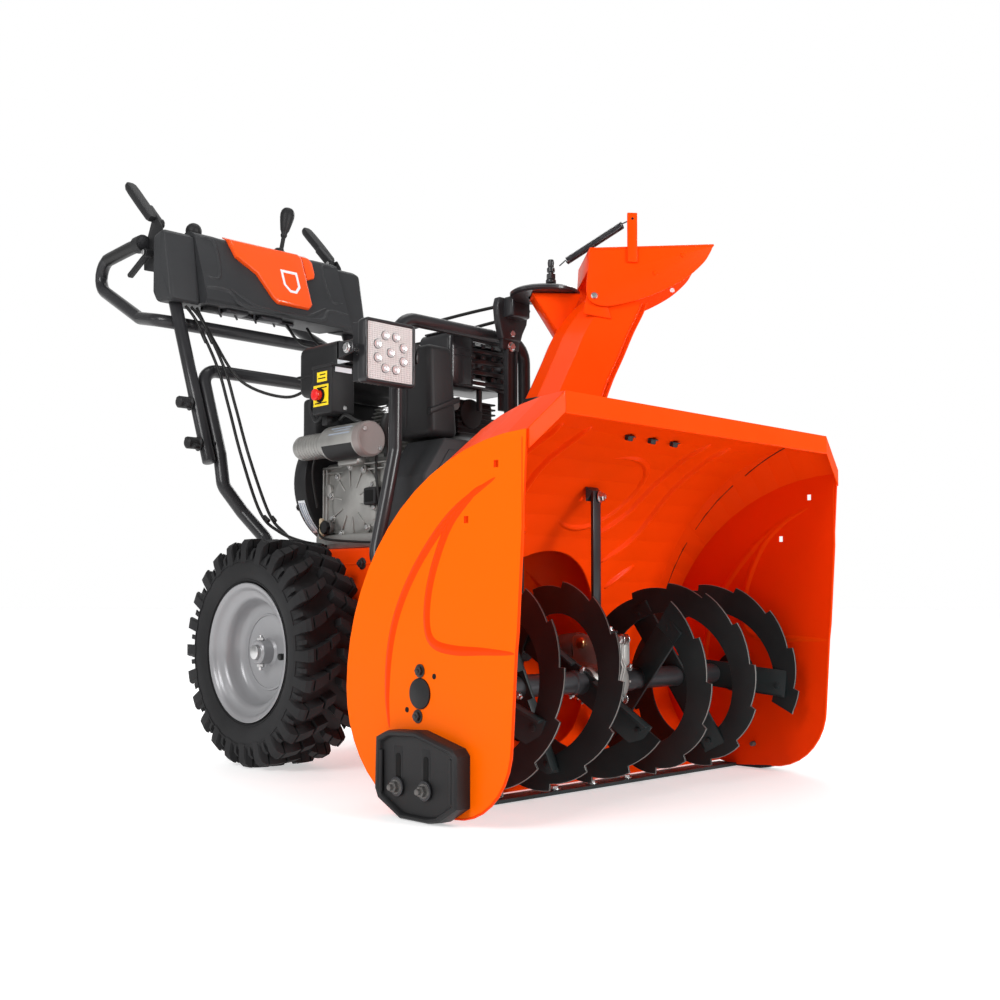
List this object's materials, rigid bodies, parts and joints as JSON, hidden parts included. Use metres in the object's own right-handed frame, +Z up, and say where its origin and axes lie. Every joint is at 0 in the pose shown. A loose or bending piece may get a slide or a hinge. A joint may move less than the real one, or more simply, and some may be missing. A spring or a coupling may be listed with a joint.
{
  "type": "snow blower",
  "caption": "Walk-behind two-stage snow blower with auger housing, turning chute, lamp, engine, wheels and folding handle with console.",
  "frame": {"origin": "on the ground under the middle of the machine's bounding box", "axes": "+Z up, -Y forwards (the auger side), +X to the side the chute stands on"},
  "size_m": [0.768, 1.3676, 1.1189],
  "materials": {
    "orange_paint": "glossy powder coat",
    "black_paint": "satin powder coat",
    "auger_black": "matte black paint",
    "rim_silver": "silver paint",
    "tyre_rubber": "moulded rubber",
    "cast_alloy": "as cast",
    "bright_steel": "zinc plated",
    "dark_steel": "dark oxide",
    "bronze": "machined",
    "grey_plastic": "fine grain",
    "black_plastic": "fine grain",
    "orange_plastic": "glossy",
    "red_plastic": "glossy",
    "lens": "ribbed clear",
    "black_rubber": "smooth"
  },
  "bodies": {
    "machine": {"auger_housing": "orange_paint", "side_plate_right": "orange_paint", "side_plate_left": "orange_paint", "impeller_drum": "orange_paint", "chute_collar": "black_plastic", "scraper_bar": "auger_black", "housing_bolts": "bright_steel", "gearbox_brace": "auger_black", "shaft_bearings": "dark_steel", "auger_gearbox": "cast_alloy", "chassis_box": "orange_paint", "belt_cover": "black_plastic", "engine_block": "cast_alloy", "engine_shroud": "black_plastic", "fuel_tank": "black_plastic", "air_box": "black_plastic", "muffler": "bright_steel", "muffler_guard": "black_paint", "starter_motor": "bright_steel", "switch_box": "black_plastic", "guard_hoop": "black_paint", "lower_handle": "black_paint", "chute_post": "black_paint", "chute_head": "black_plastic", "auger_belt": "black_rubber"},
    "wheel_right": {"tyre_right": "tyre_rubber", "rim_right": "rim_silver", "axle_right": "bright_steel"},
    "wheel_left": {"tyre_left": "tyre_rubber", "rim_left": "rim_silver", "axle_left": "bright_steel"},
    "auger": {"auger_shaft": "dark_steel", "auger_flight_right": "auger_black", "auger_flight_left": "auger_black", "worm_wheel": "bronze"},
    "impeller": {"impeller_fan": "auger_black", "impeller_shaft": "bright_steel"},
    "crank": {"crankshaft": "bright_steel"},
    "chute": {"chute_tube": "orange_paint", "deflector_spring": "bright_steel"},
    "deflector": {"deflector": "orange_paint"},
    "handle": {"handle_tube": "black_paint", "console_body": "grey_plastic", "console_caps": "grey_plastic", "console_cover": "orange_plastic", "handle_knobs": "black_plastic", "control_cables": "black_rubber"},
    "lever_right": {"lever_right": "black_plastic"},
    "lever_left": {"lever_left": "black_plastic"},
    "trigger_right": {"trigger_right": "black_plastic"},
    "trigger_left": {"trigger_left": "black_plastic"},
    "speed_lever": {"speed_lever": "black_plastic"},
    "chute_lever": {"chute_lever": "black_plastic"},
    "lamp": {"lamp_housing": "dark_steel", "lamp_lens": "lens"},
    "shoe_right": {"shoe_right": "black_plastic"},
    "shoe_left": {"shoe_left": "black_plastic"},
    "start_button": {"start_button": "red_plastic"},
    "fuel_cap": {"fuel_cap": "black_plastic"},
    "recoil_grip": {"recoil_grip": "black_rubber"}
  },
  "joints": [
    {"name": "wheel_right_spin", "type": "hinge", "parent": "machine", "child": "wheel_right", "pos_m": [-0.2, 0.07115, 0.19], "axis": [1, 0, 0], "continuous": true},
    {"name": "wheel_left_spin", "type": "hinge", "parent": "machine", "child": "wheel_left", "pos_m": [0.2, 0.07115, 0.19], "axis": [1, 0, 0], "continuous": true},
    {"name": "auger_spin", "type": "hinge", "parent": "machine", "child": "auger", "pos_m": [0, -0.48085, 0.158], "axis": [1, 0, 0], "continuous": true},
    {"name": "impeller_spin", "type": "hinge", "parent": "machine", "child": "impeller", "pos_m": [0, -0.32885, 0.203], "axis": [0, 1, 0], "continuous": true},
    {"name": "crank_spin", "type": "hinge", "parent": "machine", "child": "crank", "pos_m": [0, -0.02885, 0.471], "axis": [0, 1, 0], "continuous": true},
    {"name": "chute_turn", "type": "hinge", "parent": "machine", "child": "chute", "pos_m": [0.077, -0.30785, 0.6], "axis": [0, 0, 1], "range_deg": [-150, 50]},
    {"name": "deflector_tilt", "type": "hinge", "parent": "chute", "child": "deflector", "pos_m": [0.12449, -0.3477, 0.762], "axis": [0.6428, 0.766, 0], "range_deg": [0, 45], "deforming": ["deflector_spring"]},
    {"name": "handle_fold", "type": "hinge", "parent": "machine", "child": "handle", "pos_m": [0, 0.29737, 0.562], "axis": [1, 0, 0], "range_deg": [-90, 0], "deforming": ["control_cables"]},
    {"name": "lever_right_press", "type": "hinge", "parent": "handle", "child": "lever_right", "pos_m": [-0.204, 0.47515, 1.01], "axis": [1, 0, 0], "range_deg": [-44, 0], "stiffness_Nm_per_rad": 0.6, "springref_deg": 28.65},
    {"name": "lever_left_press", "type": "hinge", "parent": "handle", "child": "lever_left", "pos_m": [0.204, 0.47515, 1.01], "axis": [1, 0, 0], "range_deg": [-44, 0], "stiffness_Nm_per_rad": 0.6, "springref_deg": 28.65},
    {"name": "trigger_right_squeeze", "type": "hinge", "parent": "handle", "child": "trigger_right", "pos_m": [-0.228, 0.47615, 0.948], "axis": [1, 0, 0], "range_deg": [0, 18], "stiffness_Nm_per_rad": 0.3, "springref_deg": -17.19},
    {"name": "trigger_left_squeeze", "type": "hinge", "parent": "handle", "child": "trigger_left", "pos_m": [0.228, 0.47615, 0.948], "axis": [1, 0, 0], "range_deg": [0, 18], "stiffness_Nm_per_rad": 0.3, "springref_deg": -17.19},
    {"name": "speed_lever_move", "type": "hinge", "parent": "handle", "child": "speed_lever", "pos_m": [0.046, 0.43615, 0.962], "axis": [1, 0, 0], "range_deg": [-12, 10]},
    {"name": "chute_lever_move", "type": "hinge", "parent": "handle", "child": "chute_lever", "pos_m": [-0.15, 0.45615, 0.966], "axis": [0, 1, 0], "range_deg": [-25, 0]},
    {"name": "lamp_tilt", "type": "hinge", "parent": "machine", "child": "lamp", "pos_m": [-0.205, -0.21685, 0.654], "axis": [1, 0, 0], "range_deg": [-20, 20]},
    {"name": "shoe_right_height", "type": "slide", "parent": "machine", "child": "shoe_right", "axis": [0, 0, 1], "range_m": [-0.038, 0]},
    {"name": "shoe_left_height", "type": "slide", "parent": "machine", "child": "shoe_left", "axis": [0, 0, 1], "range_m": [-0.038, 0]},
    {"name": "start_button_press", "type": "slide", "parent": "machine", "child": "start_button", "axis": [1, 0, 0], "range_m": [0, 0.004], "stiffness_N_per_m": 250, "springref_m": -0.002},
    {"name": "fuel_cap_turn", "type": "hinge", "parent": "machine", "child": "fuel_cap", "pos_m": [0.03, 0.10115, 0.735], "axis": [0, 0, 1], "range_deg": [0, 90]},
    {"name": "recoil_pull", "type": "slide", "parent": "machine", "child": "recoil_grip", "axis": [0, 0.9063, -0.4226], "range_m": [0, 0.25], "stiffness_N_per_m": 12, "springref_m": -0.05}
  ],
  "couplings": [
    {"joint": "impeller_spin", "follows": "auger_spin", "ratio": 10}
  ]
}
